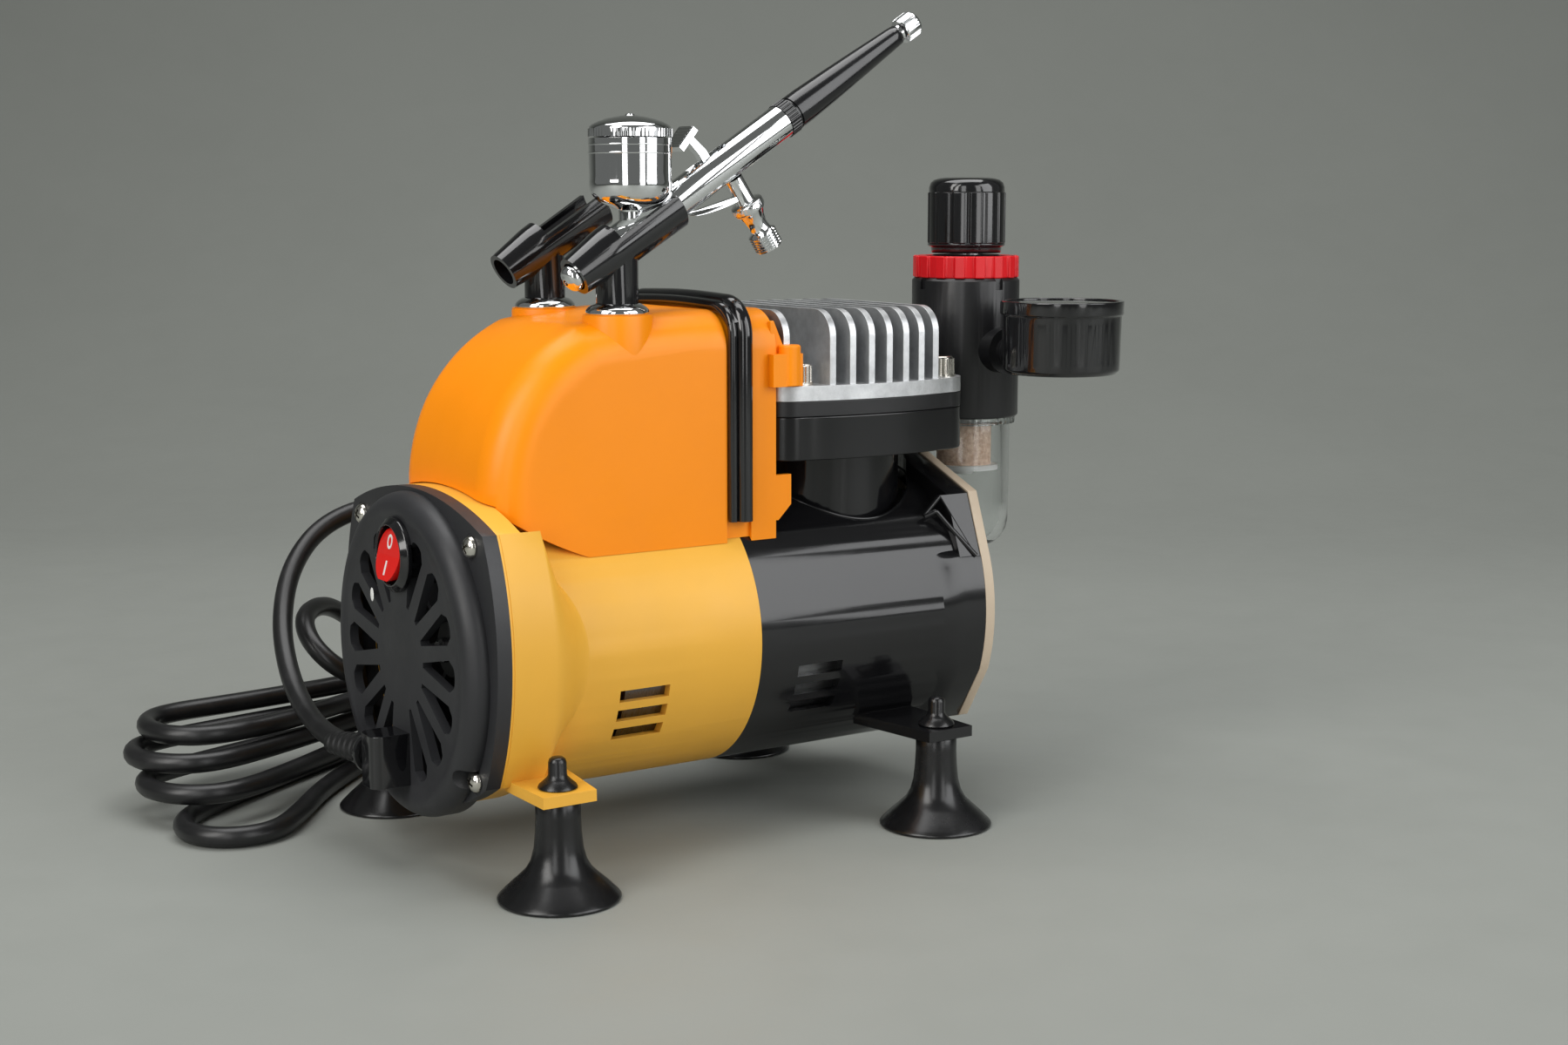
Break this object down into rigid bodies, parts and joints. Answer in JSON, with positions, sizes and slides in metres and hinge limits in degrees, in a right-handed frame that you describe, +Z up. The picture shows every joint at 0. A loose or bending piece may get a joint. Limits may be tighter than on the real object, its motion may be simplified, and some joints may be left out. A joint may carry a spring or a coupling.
{
  "type": "airbrush compressor",
  "caption": "Mini piston air compressor with a carry handle, airbrush holders, a filter regulator with a gauge, suction feet and a mains cord; an airbrush is parked on it.",
  "frame": {"origin": "on the surface it stands on, under the middle of the compressor's bounding box (cord left out)", "axes": "+X along the motor from the grille to the regulator, +Z up, -Y the side with the gauge"},
  "size_m": [0.3052, 0.2407, 0.2728],
  "materials": {
    "charcoal_plastic": "satin moulded",
    "gloss_black": "glossy moulded",
    "satin_black": "satin moulded",
    "yellow_plastic": "satin moulded",
    "orange_plastic": "satin moulded",
    "red_plastic": "glossy moulded",
    "cream_plastic": "satin",
    "nickel": "nickel plated",
    "chrome": "polished",
    "cast_aluminium": "bead blasted casting",
    "steel": "bright",
    "copper": "enamelled winding wire",
    "bronze": "sintered",
    "clear_plastic": "clear moulded",
    "white_plastic": "printed dial",
    "rubber": "smooth",
    "cord_rubber": "smooth cord sheath",
    "dark_anodised": "black anodised"
  },
  "bodies": {
    "compressor": {"adjusting_spring": "steel", "bearing_bracket": "steel", "bearings": "steel", "bowl_ring": "clear_plastic", "cord_gland": "gloss_black", "cord_hank": "cord_rubber", "cord_tie": "cord_rubber", "crankcase": "cast_aluminium", "cylinder": "gloss_black", "cylinder_head": "cast_aluminium", "end_plate_screws": "nickel", "filter_baffle": "clear_plastic", "filter_bowl": "clear_plastic", "filter_element": "bronze", "front_shell": "yellow_plastic", "gauge_case": "gloss_black", "gauge_dial": "white_plastic", "gauge_lens": "clear_plastic", "gauge_stem": "satin_black", "grille_cover": "charcoal_plastic", "grille_screws": "nickel", "head_bolts": "steel", "holder_nuts": "steel", "holder_washers": "chrome", "hose_outlet": "nickel", "motor_stator": "steel", "plug": "satin_black", "power_cord": "cord_rubber", "rear_end_plate": "cream_plastic", "rear_shell": "gloss_black", "regulator_body": "satin_black", "regulator_fitting": "satin_black", "regulator_lock_ring": "red_plastic", "stator_coils": "copper", "suction_feet": "rubber", "switch_bezel": "gloss_black", "top_cover": "orange_plastic", "valve_plate": "satin_black"},
    "rocker": {"rocker_switch": "red_plastic"},
    "handle": {"carry_handle": "gloss_black"},
    "front_holder": {"holder_front": "gloss_black"},
    "rear_holder": {"holder_rear": "gloss_black"},
    "motor_rotor": {"rotor": "steel", "motor_shaft": "steel", "cooling_fan": "white_plastic", "crank_web": "steel"},
    "piston": {"piston": "cast_aluminium"},
    "spindle": {"regulator_spindle": "steel"},
    "knob": {"regulator_knob": "satin_black"},
    "drain": {"drain_valve": "satin_black"},
    "pointer": {"gauge_needle": "satin_black"},
    "airbrush": {"airbrush_nozzle_cap": "chrome", "airbrush_body": "chrome", "airbrush_handle": "dark_anodised", "airbrush_air_valve": "chrome", "airbrush_cup": "chrome"},
    "cup_lid": {"airbrush_cup_lid": "chrome"},
    "trigger": {"airbrush_trigger": "chrome"},
    "paint_needle": {"airbrush_needle": "steel"},
    "end_knob": {"airbrush_end_knob": "chrome"}
  },
  "joints": [
    {"name": "rocker_press", "type": "hinge", "parent": "compressor", "child": "rocker", "pos_m": [-0.11695, 0, 0.0995], "axis": [0, -1, 0], "range_deg": [0, 12]},
    {"name": "handle_lift", "type": "slide", "parent": "compressor", "child": "handle", "axis": [0, 0, 1], "range_m": [0, 0.025]},
    {"name": "front_holder_swivel", "type": "hinge", "parent": "compressor", "child": "front_holder", "pos_m": [-0.05065, -0.0247, 0.1775], "axis": [0, 0, 1], "range_deg": [-90, 20]},
    {"name": "rear_holder_swivel", "type": "hinge", "parent": "compressor", "child": "rear_holder", "pos_m": [-0.05065, 0.0247, 0.1775], "axis": [0, 0, 1], "range_deg": [-20, 90]},
    {"name": "motor_spin", "type": "hinge", "parent": "compressor", "child": "motor_rotor", "pos_m": [-0.02195, 0, 0.067], "axis": [1, 0, 0], "continuous": true},
    {"name": "piston_stroke", "type": "slide", "parent": "compressor", "child": "piston", "axis": [0, 0, 1], "range_m": [0, 0.016]},
    {"name": "pressure_screw", "type": "hinge", "parent": "compressor", "child": "spindle", "pos_m": [0.10885, 0, 0.185], "axis": [0, 0, 1], "range_deg": [-540, 540]},
    {"name": "knob_unlock", "type": "slide", "parent": "spindle", "child": "knob", "axis": [0, 0, 1], "range_m": [0, 0.004]},
    {"name": "drain_push", "type": "slide", "parent": "compressor", "child": "drain", "axis": [0, 0, 1], "range_m": [0, 0.0025], "stiffness_N_per_m": 150},
    {"name": "pointer_sweep", "type": "hinge", "parent": "compressor", "child": "pointer", "pos_m": [0.10885, -0.0537, 0.165], "axis": [0, 0, -1], "range_deg": [0, 270]},
    {"name": "airbrush_draw", "type": "slide", "parent": "front_holder", "child": "airbrush", "axis": [0.8447, 0, 0.5352], "range_m": [0, 0.06]},
    {"name": "lid_lift", "type": "slide", "parent": "airbrush", "child": "cup_lid", "axis": [0, 0, 1], "range_m": [0, 0.025]},
    {"name": "trigger_pull", "type": "hinge", "parent": "airbrush", "child": "trigger", "pos_m": [-0.01526, -0.0247, 0.21815], "axis": [0, 1, 0], "range_deg": [0, 22], "stiffness_Nm_per_rad": 0.05},
    {"name": "needle_draw", "type": "slide", "parent": "airbrush", "child": "paint_needle", "axis": [0.8447, 0, 0.5352], "range_m": [0, 0.004]},
    {"name": "needle_stop_turn", "type": "hinge", "parent": "airbrush", "child": "end_knob", "pos_m": [0.06203, -0.0247, 0.26713], "axis": [0.8447, 0, 0.5352], "range_deg": [-360, 360]}
  ],
  "couplings": [
    {"joint": "needle_draw", "follows": "trigger_pull", "m_per_rad": 0.009}
  ]
}
